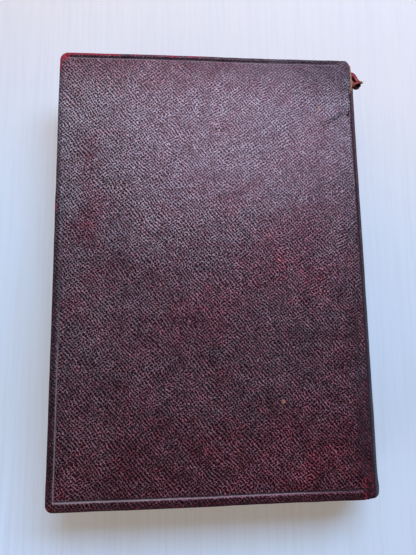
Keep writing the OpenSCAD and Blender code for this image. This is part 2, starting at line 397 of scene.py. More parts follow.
def leather():
    """Burgundy goatskin with a diagonal cross grain, worn to crimson and to raw tan fibres."""
    paint = Paint("leather", roughness=0.5, specular=0.26)
    paint.set(paint.shader.inputs["Specular Tint"], (0.92, 0.33, 0.44))
    flat = paint.attribute("flat", "Vector")
    mask = {key: paint.attribute(key) for key in LEATHER_MASKS}
    pebble = paint.noise(flat, 1.3, 2.0, 0.6)
    fine = paint.noise(flat, 3.0, 2.0, 0.6)
    cloudy = paint.noise(flat, 0.4, 2.0, 0.6)
    grain = leather_grain(paint, flat, mask["turn"], pebble, fine)
    skin = dyed_skin(paint, flat, grain, cloudy, mask)
    # Pale polish colour, used as painted highlight on the lit sides of the lines and on the spine
    polish_and_highlight_colour = paint.mix(cloudy, (0.13, 0.085, 0.10), (0.34, 0.27, 0.29))
    polish_and_highlight = paint.step(paint.scale_add(pebble, 0.5, paint.plus(mask["polish_and_highlight"], -0.25)), 0.25, 0.9)
    skin = paint.mix(polish_and_highlight, skin, polish_and_highlight_colour)
    # Painted shade: the shade mask darkens the leather's colour
    skin = paint.mix(mask["shade"], skin, (0.16, 0.13, 0.13), "MULTIPLY")

    # Wear: the dye is rubbed off the edges to crimson, and torn places show tan fibres. The tan also stands
    # in for painted highlight at the scrap loop's crest and along the spine's far edge
    ragged = paint.scale_add(paint.noise(flat, 0.9, 3.0, 0.65), 1.1, -0.55)
    rub = paint.step(paint.plus(mask["rub"], ragged), 0.40, 0.62)
    skin = paint.mix(rub, skin, mottled(paint, pebble, fine, 0.3, CRIMSON))
    raw = paint.step(paint.plus(mask["raw"], ragged), 0.40, 0.60)
    skin = paint.mix(raw, skin, mottled(paint, pebble, fine, 0.5, TAN_FIBRES))
    # Painted deep shade: near black in the nick and inside the scrap's curl
    skin = paint.mix(mask["deep_shade"], skin, (0.10, 0.07, 0.07), "MULTIPLY")

    rough = paint.scale_add(grain, -0.09, 0.40)
    for value, scale in ((mask["dull"], 0.45), (polish_and_highlight, -0.12), (raw, 0.3)):
        rough = paint.scale_add(value, scale, rough)
    height = paint.times(grain, paint.scale_add(mask["worn_flat"], -0.75, 1.0))
    height = paint.scale_add(fine, 0.10, height)
    return paint.finish(skin, rough, paint.bump(height, 0.006))


def plain_paper(name, light, dark):
    """Aged paper: mottled, toned towards its edges and spotted with foxing."""
    paint = Paint(name, roughness=0.85, specular=0.3)
    at = paint.place_mm()
    colour = paint.mix(paint.step(paint.noise(at, 0.03, 4.0, 0.6), 0.3, 0.75), light, dark)
    spots = paint.step(paint.plus(paint.cells(at, 0.09), paint.noise(at, 0.5, 3.0)), 0.72, 0.5)
    colour = paint.mix(paint.times(spots, 0.5), colour, (0.33, 0.17, 0.07))
    colour = paint.mix(paint.attribute("toned"), colour, (0.36, 0.24, 0.12))
    return paint.finish(colour, None, paint.bump(paint.noise(at, 2.5, 4.0, 0.7), 0.04, 0.5))


def page_edges():
    """The trimmed edges of the leaves: fine lines, dust and browning."""
    paint = Paint("page_edges", roughness=0.9, specular=0.25)
    at = paint.attribute("flat", "Vector")
    tones = [(0.0, (0.20, 0.12, 0.06)), (0.5, (0.47, 0.34, 0.20)), (1.0, (0.70, 0.58, 0.40))]
    colour = paint.ramp(paint.attribute("tone"), tones)
    blotch = paint.step(paint.noise(at, 0.06, 4.0, 0.6), 0.45, 0.75)
    colour = paint.mix(paint.times(blotch, 0.45), colour, (0.30, 0.18, 0.085))
    colour = paint.mix(paint.attribute("dust_and_sheen"), colour, (0.13, 0.10, 0.075))
    return paint.finish(colour, None, paint.bump(paint.noise(at, 1.8, 3.0, 0.7), 0.05, 0.5))


def card(name, light, dark, scale=0.8):
    """Raw board, card, paper or cord, with fibres."""
    paint = Paint(name, roughness=0.9, specular=0.25)
    fibres = paint.noise(paint.place_mm(), scale, 5.0, 0.7)
    colour = paint.mix(paint.step(fibres, 0.3, 0.7), dark, light)
    return paint.finish(colour, None, paint.bump(fibres, 0.1, 0.6))


def woven(name, light, dark, pitch):
    """Open cotton cloth stiffened with glue."""
    paint = Paint(name, roughness=0.9, specular=0.25)
    at = paint.place_mm()
    weave = paint.math("MAXIMUM", stripes(paint, at, 0, pitch), stripes(paint, at, 90, pitch))
    colour = paint.mix(paint.step(weave, 0.4, 0.9), dark, light)
    return paint.finish(colour, None, paint.bump(weave, 0.12, 0.6))


def band_cloth():
    """Striped cotton of a headband, red and cream, grubby on top."""
    paint = Paint("band_cloth", roughness=0.85, specular=0.3)
    at = paint.attribute("flat", "Vector")
    stripe = paint.step(paint.attribute("stripe"), 0.4, 0.6)
    colour = paint.mix(stripe, (0.45, 0.33, 0.19), (0.24, 0.035, 0.03))
    grime = paint.step(paint.noise(at, 0.5, 3.0), 0.4, 0.7)
    colour = paint.mix(paint.times(grime, 0.5), colour, (0.09, 0.05, 0.035))
    colour = paint.mix(paint.attribute("dust_and_sheen"), colour, (0.05, 0.035, 0.03))
    return paint.finish(colour, None, paint.bump(paint.noise(at, 4.0, 2.0), 0.05, 0.5))


# The covers' leather

# The blind line: its width and depth, and where its four sides run
FILLET_W = 1.1
FILLET_DEPTH = 0.38
FILLET_FORE_U = 3.0
FILLET_HEAD_V = 2.35
FILLET_TAIL_V = COVER_H - 4.1
FILLET_JOINT_U = JOINT_U - 3.3
FILLET_END_U = 128.3
# How far the turn-in goes on under the pastedown, and how thick the folded leather is at the joint
TURN_IN_SEEN = 6.0
FOLD_T = 1.3
# A nick at the ridge and the crease beside it
NICK_U, NICK_V = 131.5, 27.4
CREASE_U, CREASE_V = 125, 30.5
# Small scuffs down to the fibres: (u, v, width, length)
SCUFFS = (
    (96.4, 155.8, 0.6, 0.5),
    (117.9, 24.9, 0.3, 1.1),
    (117.2, 26.8, 0.24, 0.5),
    (64.0, 86.0, 0.25, 0.3),
)
# Radius of a cover's corners at the fore-edge, at the head and tail: the back cover's head is worn rounder
WORN_CORNERS = (3.8, 3.0)
PLAIN_CORNERS = (3.0, 3.0)
# How far the back cover's leather reaches over the ridge where the spine is torn away
OVERHANG_V = (0, 1.3, 2.4, 5.8, 8, 12, 14, 18, 30, 48, 196)
OVERHANG = (1.2, 1.5, 1.8, 2.0, 1.9, 1.8, 1.5, 0.9, 1.0, 1.5, 1.5)
PLAIN_OVERHANG = 0.8
# Painted sheen on the grain's crests, from the head to the tail: strongest near the head, where the window's
# light is reflected
PAINTED_SHEEN_V = (0, 9, 22, 45, 100, 150, 185)
PAINTED_SHEEN = (0.12, 0.32, 0.62, 0.58, 0.20, 0.10, 0.02)
# Rings of points in each quarter of the turn round a board's edge
QUARTER = 6


def overhang(v):
    """How far the leather reaches over the ridge."""
    return np.interp(v, OVERHANG_V, OVERHANG)


def crease(u, v, shift, width):
    """A soft band along the crease beside the nick, shifted to its side."""
    slant = (u - CREASE_U) * 0.85 + (v - CREASE_V) * 0.52
    drop = (u - CREASE_U) * 0.52 + (v - CREASE_V) * 0.85
    return spot(slant, 0, 5.5) * spot(drop, shift, width)


def from_edge(u, v):
    """The distance from the nearest edge of the board."""
    return np.minimum(np.minimum(u, v), COVER_H - v)


def inside_ends(rise, risen, u):
    """1 along the lines at the head and tail, from the fore-edge to where they end at the joint."""
    return between(rise, risen, FILLET_END_U - 0.6, FILLET_END_U + 0.4, u)


def pressed_line(distance):
    """Section of a blind line: a pressed trough with slightly raised lips."""
    trough = np.exp(-((np.abs(distance) / (FILLET_W * 0.5)) ** 4))
    lips = spot(np.abs(distance), FILLET_W * 0.8, 0.3)
    return -FILLET_DEPTH * trough + 0.06 * lips


def cover_relief(u, v, seed, worn):
    """Height of a cover's leather above its flat, at a place on the cover."""
    head, tail = FILLET_HEAD_V, FILLET_TAIL_V
    along = between(head - 0.5, head + 0.5, tail - 0.5, tail + 0.5, v)
    height = inside_ends(2.2, 3.4, u) * (pressed_line(v - head) + pressed_line(v - tail))
    height += along * (0.25 + 0.75 * smooth(20, 110, v)) * pressed_line(u - FILLET_FORE_U)
    height += along * 0.3 * smooth(90, 150, v) * pressed_line(u - FILLET_JOINT_U)
    height += 0.10 * ripple(u, v, 38, seed) + 0.035 * ripple(u, v, 9, seed + 1)
    height -= 0.12 * np.exp(-np.clip(from_edge(u, v), 0, None) / 0.9)
    if not worn:
        return 0.55 * height
    height -= 0.40 * crease(u, v, 0, 1.7)
    height -= 0.5 * round_spot(u - NICK_U, v - NICK_V, 0.45)
    return height - 0.10 * spot(v, 11.0, 0.35) * fall(8, 11, u)


def joint_section(s, v):
    """X and the height above the flat, at s along the leather across the joint and over the ridge."""
    t = np.clip((s - JOINT_U + 1.0) / (GROOVE_W + 1.0), 0, 1)
    depth = 0.05 + 0.38 * smooth(60, 150, v)
    over = np.clip(s - RIDGE_U, 0, None)
    angle = SPINE_ANGLE - over / SPINE_R
    x = np.where(over > 0, SPINE_X - FORE_X + SPINE_R * np.cos(angle), s)
    arc_z = MID_Z + SPINE_R * np.sin(angle) - TOP
    z = np.where(over > 0, arc_z, -RIDGE_DROP * t - depth * np.sin(math.pi * t) ** 2)
    # At the torn head the leather stands out nearly straight over the ridge
    flat_out = (over > 0) * fall(10, 16, v)
    x = x + (RIDGE_U + over * 0.98 - x) * flat_out
    z = z + (-RIDGE_DROP - 0.3 * over - z) * flat_out
    return x, z - 0.16 * spot(s, RIDGE_U, 0.5)


def pressed_share(u, v):
    """1 in the pressed lines, where the grain is flattened."""
    reach = FILLET_W * 0.6
    rows = np.maximum(spot(v, FILLET_HEAD_V, reach), spot(v, FILLET_TAIL_V, reach))
    fore = spot(u, FILLET_FORE_U, reach) * between(1.6, 2.8, FILLET_TAIL_V, FILLET_TAIL_V + 1, v)
    return np.maximum(rows * inside_ends(2.0, 3.2, u), fore * (0.2 + 0.8 * smooth(20, 110, v)))


def flat_mask(u, v, s):
    """How far the grain is pressed or worn flat; s is u measured along the leather."""
    return np.maximum.reduce([
        0.95 * pressed_share(u, v),
        smooth(JOINT_U - 3.5, JOINT_U, s) * (0.1 + 0.55 * smooth(120, 165, v)),
        fall(8, 15, v) * (0.3 + 0.45 * smooth(40, 100, u)),
        0.4 * smooth(119, 125, u) * fall(40, 70, v),
        0.45 * fall(1.2, 2.2, from_edge(u, v)),
    ])


def rub_mask(u, v, s, worn):
    """How far the dye is rubbed off, along the edges, at the corners and beside the joint."""
    tail_v = COVER_H - v
    head_line = between(-3.5, -1.5, 1.1, 1.8, v)
    fore_line = between(-3.5, -1.5, 0.7, 1.5, u)
    corner_head = round_spot(u, v, 5.4)
    corner_tail = round_spot(u, tail_v, 3.0)
    if not worn:
        tail = 0.34 * fall(1.0, 2.2, tail_v)
        return np.maximum.reduce([0.5 * head_line, 0.42 * fore_line, corner_head, corner_tail, tail])
    head = 0.88 - 0.34 * smooth(18, 34, u) - 0.42 * smooth(55, 78, u) + 0.34 * ripple(u, 0, 5, 77)
    fore = 0.72 * fall(6, 15, v) + 0.72 * spot(v, 72.5, 2.5) + 0.5 * spot(v, 60, 1.2)
    joint = spot(s, JOINT_U - 0.1, 0.5) + spot(s, JOINT_U + 2.6, 0.5)
    joint = joint * (0.55 * smooth(182, 188, v) + 0.2 * smooth(100, 125, v))
    return np.maximum.reduce([
        head_line * head,
        fore_line * fore,
        1.1 * corner_head,
        0.85 * corner_tail,
        joint * (1 + 1.1 * ripple(v, s, 2.2, 78)),
        0.42 * spot(s, RIDGE_U - 0.2, 0.35) * smooth(14, 30, v),
        0.36 * fall(1.5, 3, tail_v),
    ])


def raw_mask(u, v, s):
    """How far the worn cover is torn to its fibres: at the torn rim, the joint, the nick and the scuffs."""
    reach = overhang(v)
    scuffs = [1.2 * spot(u, at_u, width) * spot(v, at_v, length) for at_u, at_v, width, length in SCUFFS]
    return np.maximum.reduce([
        1.1 * smooth(reach - 0.85, reach - 0.45, s - RIDGE_U) * fall(12, 14, v),
        0.5 * spot(s, JOINT_U + 1.2, 0.35) * between(26, 27, 30, 38, v),
        0.8 * round_spot(s - NICK_U + 0.7, v - NICK_V - 0.5, 0.45),
        *scuffs,
    ])


def shade_mask(u, v, s, worn):
    """Painted shade that darkens the leather: where it goes under the spine's, round its edges and in its
    lines, and on the worn cover in the nick and along the crease; also a darker band down the left and less
    sheen at the head's right end.
    """
    reach = overhang(v)
    shades = [
        0.85 * smooth(reach - 0.5, reach - 0.1, s - RIDGE_U) * smooth(13, 17, v),
        fall(2.0, 2.7, u) * (0.35 + 0.35 * smooth(20, 90, v)),
        0.6 * fall(2.6, 3.3, COVER_H - v),
        0.22 * spot(u, 28, 4.5) * smooth(40, 80, v),
        0.30 * smooth(98, 122, u) * fall(12, 26, v),
        0.8 * spot(v, FILLET_HEAD_V - 0.2, 0.55) * smooth(2.5, 4, u) * (1 - 0.5 * smooth(60, 110, u)),
    ]
    if worn:
        shades.append(round_spot(s - NICK_U, v - NICK_V, 0.75))
        shades.append(0.8 * spot(v, 15.2, 0.5) * smooth(RIDGE_U, RIDGE_U + 0.4, s))
        shades.append(0.34 * crease(u, v, -0.7, 1.1))
    return np.clip(np.maximum.reduce(shades), 0, 1)


def red_mask(u, v, s, seed):
    """How red the leather is: in broad patches, and more towards the tail."""
    red = 0.68 * spot(u, 15, 7) * smooth(15, 60, v) * (1 - 0.6 * smooth(85, 120, v))
    red += 0.66 * spot(u, 97, 17) * spot(v, 92, 22) + 0.5 * smooth(125, 130, s) * smooth(140, 165, v)
    red += 0.5 * spot(u, 60, 22) * spot(v, 120, 18) + 0.10 * smooth(75, 100, v)
    red += 0.36 * spot(u, 110, 20) * spot(v, 178, 16) + 0.22 * smooth(130, 190, v)
    return np.clip(red + 0.25 * ripple(u, v, 20, seed + 5), 0, 1) * 0.7


def polish_and_highlight_mask(u, v, worn):
    """Painted highlight in a pale polish colour: along the lit sides of its lines, and a little beside the
    crease.
    """
    inside_u = inside_ends(2.4, 3.4, u)
    inside_v = between(3, 5, FILLET_TAIL_V, FILLET_TAIL_V + 1, v)
    tail = 0.72 + 0.2 * fall(20, 70, u) - 0.35 * smooth(95, 122, u)
    return np.maximum.reduce([
        0.7 * spot(v, FILLET_HEAD_V + 0.65, 0.45) * inside_u,
        0.6 * spot(u, 126.8, 0.5) * between(5, 7, 11, 17, v) * worn,
        tail * spot(v, FILLET_TAIL_V + 0.25, 0.42) * inside_u,
        0.74 * smooth(70, 160, v) * spot(u, FILLET_FORE_U + 0.1, 0.4) * inside_v,
        0.32 * smooth(122, 128, u) * between(22, 34, 60, 100, v),
    ])


def cover_masks(u, v, s, worn, seed):
    """All of the leather's masks on a cover; s is u measured along the leather."""
    shade = shade_mask(u, v, s, worn)
    # Painted sheen, strongest near the head and weaker at the head's right end
    dust_and_sheen = np.interp(v, PAINTED_SHEEN_V, PAINTED_SHEEN) * (1 - 0.35 * smooth(95, 122, u) * smooth(18, 32, v))
    return {
        "worn_flat": flat_mask(u, v, s),
        "rub": rub_mask(u, v, s, worn),
        "raw": raw_mask(u, v, s) * worn,
        "shade": shade,
        "dull": shade,
        "red": red_mask(u, v, s, seed),
        "turn": smooth(-30, 80, (u - 62) - (v - 60) * 0.9 + 18 * ripple(u, v, 35, seed + 6)),
        "polish_and_highlight": polish_and_highlight_mask(u, v, worn),
        "deep_shade": round_spot(s - NICK_U, v - NICK_V, 0.7) * worn,
        "dust_and_sheen": dust_and_sheen + 0.10 * spot(u, 15, 8) * smooth(70, 110, v),
    }


def round_corners(u, v, radii):
    """Turns a grid's square fore-edge corners into round ones of these radii, at the head and tail."""
    for at_head, radius in zip((True, False), radii):
        inner = radius - EDGE_R
        from_end = v if at_head else COVER_H - v
        a = np.clip((EDGE_R + inner - u) / inner, 0, 1)
        b = np.clip((EDGE_R + inner - from_end) / inner, 0, 1)
        both = (a > 0) & (b > 0)
        squeeze = np.where(both, np.maximum(a, b) / np.hypot(a, b + 1e-9), 1)
        u = np.where(both, EDGE_R + inner - a * squeeze * inner, u)
        moved = EDGE_R + inner - b * squeeze * inner
        v = np.where(both, moved if at_head else COVER_H - moved, v)
    return u, v


def outward_from(rim, radii):
    """The direction away from the cover's middle, at each point of its rim."""
    outward = np.zeros((len(rim), 2))
    for k, (pu, pv) in enumerate(rim):
        at_head = pv < HALF_H
        centre = radii[0] if at_head else radii[1]
        centre_v = centre if at_head else COVER_H - centre
        beyond = pv < centre_v + 1e-6 if at_head else pv > centre_v - 1e-6
        if pu < centre - 1e-6 and beyond:
            away = np.array([pu - centre, pv - centre_v])
        elif pu < EDGE_R + 1e-6:
            away = np.array([-1.0, 0.0])
        else:
            away = np.array([0.0, -1.0 if at_head else 1.0])
        outward[k] = away / np.linalg.norm(away)
    return outward


def cover_grid(seed, worn, radii):
    """The upper sheet of a cover, as rows of (u, v, height), and each point's way along the leather."""
    fine_u = (EDGE_R, FILLET_FORE_U, 117.6, FILLET_JOINT_U, JOINT_U, JOINT_U + 1.7, RIDGE_U)
    fine_v = (EDGE_R, FILLET_HEAD_V, 25.4, NICK_V, FILLET_TAIL_V, COVER_H - EDGE_R)
    us = stations(EDGE_R, RIDGE_U, 1.6, 0.22, fine_u, 1.3)
    vs = stations(EDGE_R, COVER_H - EDGE_R, 1.7, 0.24, fine_v, 1.4)
    u, v = round_corners(*np.meshgrid(us, vs), radii)

    # Over the ridge: a torn overhang at the head, and elsewhere a tongue under the spine's leather
    ragged = 0.22 * ripple(vs, 0, 1.7, seed + 20) * (vs < 15)
    reach = overhang(vs) + ragged if worn else np.full_like(vs, PLAIN_OVERHANG)
    under = smooth(13.5, 16, vs) if worn else smooth(3.5, 5, vs)
    steps = np.linspace(0, 1, 8)[1:]
    u = np.concatenate([u, RIDGE_U + reach[:, None] * steps], 1)
    v = np.concatenate([v, np.broadcast_to(vs[:, None], (len(vs), len(steps)))], 1)
    tuck = np.zeros_like(u)
    tuck[:, -len(steps):] = 0.35 * under[:, None] * np.minimum(1, steps * 3)

    x, z = joint_section(u, v)
    relief = cover_relief(u, v, seed, worn) * (1 - 0.5 * smooth(RIDGE_U - 0.5, RIDGE_U + 0.5, u))
    return np.stack([x, v, z + relief - tuck], 2), u


def rim_of(rows, columns):
    """A grid's rim, from the ridge along the head, down the fore-edge and back along the tail."""
    head_row = list(range(columns - 1, -1, -1))
    fore_column = [r * columns for r in range(1, rows)]
    tail_row = [(rows - 1) * columns + c for c in range(1, columns)]
    return np.array(head_row + fore_column + tail_row)


def turned_ring(edge, outward, wrap, base, part, share):
    """A ring of points where the leather turns round the board: at its top, its bottom or inside it."""
    turn_r = np.minimum(EDGE_R, wrap * 0.46)
    angle = share * math.pi / 2
    ring = edge.copy()
    if part == "top":
        ring[:, :2] += outward * (EDGE_R * math.sin(angle))
        ring[:, 2] = base + (edge[:, 2] - base) * math.cos(angle) - turn_r * (1 - math.cos(angle))
    elif part == "bottom":
        ring[:, :2] += outward * (EDGE_R * math.cos(angle))
        ring[:, 2] = base - wrap + turn_r * (1 - math.sin(angle))
    else:
        # The turn-in lies flat under the board, so its rim shrinks towards the cover's middle
        ring[:, 0] = RIDGE_U - (RIDGE_U - edge[:, 0]) * (1 - share / (RIDGE_U - EDGE_R))
        ring[:, 1] = HALF_H + (edge[:, 1] - HALF_H) * (1 - share / (HALF_H - EDGE_R))
        ring[:, 2] = base - wrap
    return ring


def turn_in(edge, edge_s, radii):
    """Rings of points from a cover's rim round the board, and their places with the leather laid flat."""
    outward = outward_from(np.stack([np.minimum(edge_s, RIDGE_U), edge[:, 1]], 1), radii)
    base = joint_section(edge_s, edge[:, 1])[1]
    wrap = WRAP_T - (WRAP_T - FOLD_T) * smooth(JOINT_U - 0.2, JOINT_U + 1.0, edge_s)
    turns = [("top", k / QUARTER) for k in range(1, QUARTER + 1)]
    turns += [("bottom", k / QUARTER) for k in range(QUARTER + 1)]
    turns += [("inside", inset) for inset in (0.6, 2.5, TURN_IN_SEEN)]
    rings, plans = [], []
    travelled, last = np.zeros(len(edge)), edge
    for part, share in turns:
        ring = turned_ring(edge, outward, wrap, base, part, share)
        travelled = travelled + np.linalg.norm(ring - last, axis=1)
        last = ring
        rings.append(ring)
        plans.append(np.stack([edge_s, edge[:, 1]], 1) + outward * travelled[:, None])
    return rings, plans


def cover_skin(name, side, seed, worn):
    """The leather of one cover, from its turn-ins round the board and across the joint to the spine.

    side is 1 for the back cover, on top, and -1 for the front cover, underneath."""
    radii = WORN_CORNERS if worn else PLAIN_CORNERS
    grid, s = cover_grid(seed, worn, radii)
    rows, columns = s.shape
    grid, s = grid.reshape(-1, 3), s.ravel()
    previous = rim_of(rows, columns)
    rings, plans = turn_in(grid[previous], s[previous], radii)

    faces, start = grid_faces(rows, columns), len(grid)
    for ring in rings:
        ring = np.arange(start, start + len(ring))
        faces += np.stack([previous[:-1], previous[1:], ring[1:], ring[:-1]], 1).tolist()
        previous, start = ring, start + len(ring)

    points = np.concatenate([grid, *rings])
    plan = np.concatenate([np.stack([s, grid[:, 1]], 1), *plans])
    depth = np.concatenate([np.full(len(r), i) for i, r in enumerate([grid, *rings])])
    shape_outline(points, seed)
    masks = cover_masks(plan[:, 0], plan[:, 1], plan[:, 0], worn, seed)
    masks["rub"] = masks["rub"] * (1 - 0.85 * smooth(QUARTER + 1, 2 * QUARTER + 2, depth))
    masks["flat"] = np.stack([plan[:, 0], -plan[:, 1], np.full(len(plan), 40.0 * (side < 0))], 1)

    world = np.stack([FORE_X + points[:, 0], HALF_H - points[:, 1], TOP + points[:, 2]], 1)
    if side < 0:
        world[:, 2] = TOP - world[:, 2]
    else:
        faces = flipped(faces)
    piece = make_mesh(name, world, faces, masks)
    thicken(piece, SHEET_T)
    return piece


def waver(at, long, short, seed):
    """The small waver of an edge, from a long and a short wave."""
    return 0.10 * ripple(at, 0, long, seed) + 0.06 * ripple(at, 0, short, seed + 1)


def shape_outline(points, seed):
    """Rounds the ends of the joint in towards the spine, and lets the cover's outline waver."""
    x, y = points[:, 0].copy(), points[:, 1].copy()
    to_head = (HALF_H - y) / HALF_H
    head_cut = 2.1 * smooth(RIDGE_U - 1.1, RIDGE_U + 1.7, x) ** 1.5
    tail_cut = 2.4 * smooth(RIDGE_U - 3.4, RIDGE_U + 2.2, x) ** 1.5
    points[:, 1] += np.where(to_head > 0, head_cut, tail_cut) * to_head
    points[:, 0] += fall(0, 12, x) * np.clip(waver(y, 60, 11, seed + 8), -0.2, 0.08)
    near_ends = fall(0, 12, HALF_H - np.abs(y - HALF_H))
    points[:, 1] -= near_ends * np.sign(y - HALF_H) * np.clip(waver(x, 70, 12, seed + 10), -0.08, 0.2)


# The spine's leather

# The tear across the spine, from the front cover to the back one, as shares of its greatest depth
TEAR_DEPTH = 14.0
TEAR_AT = (-0.05, 0.18, 0.34, 0.5, 0.66, 0.8, 0.9, 1.05)
TEAR = (0.3, 0.22, 0.46, 0.38, 0.62, 0.56, 0.88, 1.0)
# The cap at the tail: how far its leather is turned in, and the radius of its edge
CAP_REACH = 3.6
CAP_ROUND = 0.8


def spine_rows(angles, torn):
    """Rows of points from the cap at the tail up to the tear: how far each dips inwards, and its Y."""
    tail = -HALF_H + 0.35 * spot(np.clip(SPINE_ANGLE - np.abs(angles), 0, 1) * SPINE_R, 0, 3.0)
    rows = []
    for reach in (CAP_REACH, CAP_REACH * 0.6, CAP_ROUND * 1.6):
        rows.append((np.full_like(angles, -reach), tail + 0.25 * (reach < CAP_REACH)))
    for k in range(7):
        turn = k / 6 * math.pi / 2
        rows.append((-CAP_ROUND * (1 - math.sin(turn)) + angles * 0, tail + CAP_ROUND * (1 - math.cos(turn))))
    start = tail + CAP_ROUND
    for t in stations(0, 1, 0.014, 0.0022, (0, 1), 0.02)[1:]:
        rows.append((angles * 0, start + (torn - start) * t))
    return np.array([r[0] for r in rows]), np.array([r[1] for r in rows])


def spine_masks(arc, y, from_ridge, from_tear, back_side):
    """The leather's masks on the spine: most of its wear is beside the ridge of the back cover."""
    hidden = overhang(HALF_H - y)
    seen = smooth(hidden + 0.4, hidden + 1.6, from_ridge)
    torn = 1.05 * np.exp(-np.clip(from_tear, 0, None) / 0.8)
    # Painted highlight: a tan line along the far edge of the spine's seen strip, in the raw fibres' colour
    rim = 0.42 * between(2.6, 5.0, 5.5, 9, from_ridge) * smooth(12, 45, y) * back_side
    rust = 0.65 * spot(from_ridge, 3.0, 1.2) * (spot(y, 50, 3) + spot(y, 41, 4)) * back_side
    peel = 0.62 * spot(from_ridge, 0, 1.2) * smooth(74, 84, y) * back_side
    rubs = [
        0.75 * np.exp(-np.clip(from_tear - 0.7, 0, None) / 2.5),
        0.55 * spot(from_ridge, 1.1, 0.5) * spot(y, 56, 5) * back_side,
        0.75 * spot(from_ridge, 1.6, 1.3) * smooth(79, 83, y) * back_side,
        0.45 * spot(y, -HALF_H, 1.2),
        0.45 * spot(from_ridge, 0.9, 0.6) * smooth(-100, 60, y),
        rust,
    ]
    return {
        "worn_flat": np.full(len(y), 0.45),
        "rub": np.maximum.reduce(rubs),
        "raw": np.maximum.reduce([torn, peel, rim, rust * 0.8]),
        "shade": 0.85 * fall(hidden + 0.3, hidden + 1.3, from_ridge),
        "red": np.clip(0.35 + 0.4 * ripple(arc, y, 15, 36), 0, 1) * 0.4,
        "turn": np.full(len(y), 0.3),
        # Painted highlight on the spine's seen strip, towards the tail
        "polish_and_highlight": 0.40 * fall(-10, 45, y) * seen * fall(2.6, 4.6, from_ridge),
        "dull": 0.45 + 0.45 * smooth(-80, 20, y),
        "dust_and_sheen": np.full(len(y), 0.1),
        "deep_shade": np.zeros(len(y)),
        "flat": np.stack([200 + arc, y, np.full(len(y), 90.0)], 1),
    }


def spine_skin(name):
    """The leather over the round of the spine: capped at the tail and torn away at the head."""
    widest, dense = SPINE_ANGLE + 0.03, SPINE_ANGLE * 0.88
    near = np.linspace(dense, widest, 12)
    angles = np.concatenate([-near[::-1], np.linspace(-dense, dense, 54)[1:-1], near])
    across = angles * SPINE_R
    torn = HALF_H - TEAR_DEPTH * np.interp((MID_Z + SPINE_R * np.sin(angles)) / TOP, TEAR_AT, TEAR)
    torn += 0.5 * ripple(across, 0, 2.2, 31) + 0.25 * ripple(across, 0, 0.9, 32)
    drop, y = spine_rows(angles, torn)
    angle = np.broadcast_to(angles, y.shape)
    arc = angle * SPINE_R
    # Wrinkles along the spine, a swell at the tail, a crease beside each ridge and a curl at the tear
    swell = 0.25 * spot(y, -HALF_H + 3.0, 2.2) * (1 - np.abs(angle / widest) ** 6)
    wrinkles = 0.05 * ripple(arc, y * 0.12, 3.2, 33) + 0.08 * ripple(arc, y, 17, 34) - 0.1
    from_ridge = (SPINE_ANGLE - np.abs(angle)) * SPINE_R
    creased = -0.45 * fall(-0.2, 0.75, from_ridge)
    curled = 0.5 * np.exp(-np.clip(torn - y, 0, None) / 1.3) * (0.6 + 0.6 * ripple(arc, 0, 4, 35))
    radius = SPINE_R + drop + (swell + wrinkles + creased + curled) * smooth(-CAP_REACH, 0, drop)
    points = on_round(radius, angle, y)
    fields = (arc, y, from_ridge, torn - y, (angle > 0) * 1.0)
    masks = spine_masks(*(field.ravel() for field in fields))
    piece = make_mesh(name, points, flipped(grid_faces(*y.shape)), masks)
    thicken(piece, SHEET_T + 0.1)
    return piece


# The scrap torn from the head of the spine: the edges of its strips, in millimetres
LOOP_RIM = (
    (70.1, 92.7, 27.9), (71.3, 93.0, 27.4), (72.4, 92.1, 27.1),
    (73.2, 91.0, 27.0), (73.7, 89.6, 27.2), (74.0, 88.5, 27.6),
)
LOOP_INNER = (
    (69.9, 90.6, 28.3), (70.7, 90.1, 28.6), (71.3, 89.4, 28.6),
    (71.9, 88.5, 28.5), (72.4, 87.8, 28.4), (73.0, 87.5, 28.2),
)
LOOP_FOOT = (
    (69.9, 92.0, 26.4), (71.0, 92.0, 25.2), (72.1, 91.3, 24.2),
    (72.9, 90.4, 23.6), (73.3, 89.4, 23.3), (73.4, 88.6, 23.0),
)
ARM_TOP = (
    (70.0, 86.4, 28.1), (71.3, 87.1, 28.5), (72.5, 87.7, 28.7),
    (73.6, 88.0, 28.6), (74.5, 88.1, 28.4), (75.0, 87.8, 28.1),
)
ARM_LOW = (
    (70.2, 85.6, 28.0), (71.6, 86.4, 28.3), (72.8, 87.2, 28.3),
    (73.9, 87.5, 28.2), (74.6, 87.6, 28.0), (75.05, 87.5, 27.8),
)
FIBRE_LEFT = (
    (68.9, 92.3, 28.8), (68.9, 90.0, 28.7), (68.8, 88.1, 28.7), (68.7, 86.2, 28.7), (68.7, 84.2, 28.8),
)
FIBRE_RIGHT = (
    (71.0, 92.3, 27.6), (71.8, 90.6, 27.3), (71.9, 88.8, 27.4), (71.4, 86.6, 27.4), (70.2, 84.4, 27.8),
)
# Its rolled end: the middle, the hole's radii, the wall, and the levels of its top and foot
CURL_CENTRE = (73.05, 86.5)
CURL_HOLE = (1.3, 0.92)
CURL_WALL = 0.34
CURL_LEVELS = (28.2, 26.7)


def along_curve(path, count):
    """Evenly numbered points on a smooth curve through a path."""
    path = np.array(path, float)
    t = np.linspace(0, len(path) - 1, count)
    k = np.clip(t.astype(int), 0, len(path) - 2)
    f = (t - k)[:, None]
    p0, p1 = path[k], path[k + 1]
    before, after = path[np.clip(k - 1, 0, None)], path[np.clip(k + 2, None, len(path) - 1)]
    bend = (2 * before - 5 * p0 + 4 * p1 - after) * f**2 + (3 * p0 - before - 3 * p1 + after) * f**3
    return 0.5 * (2 * p0 + (p1 - before) * f + bend)


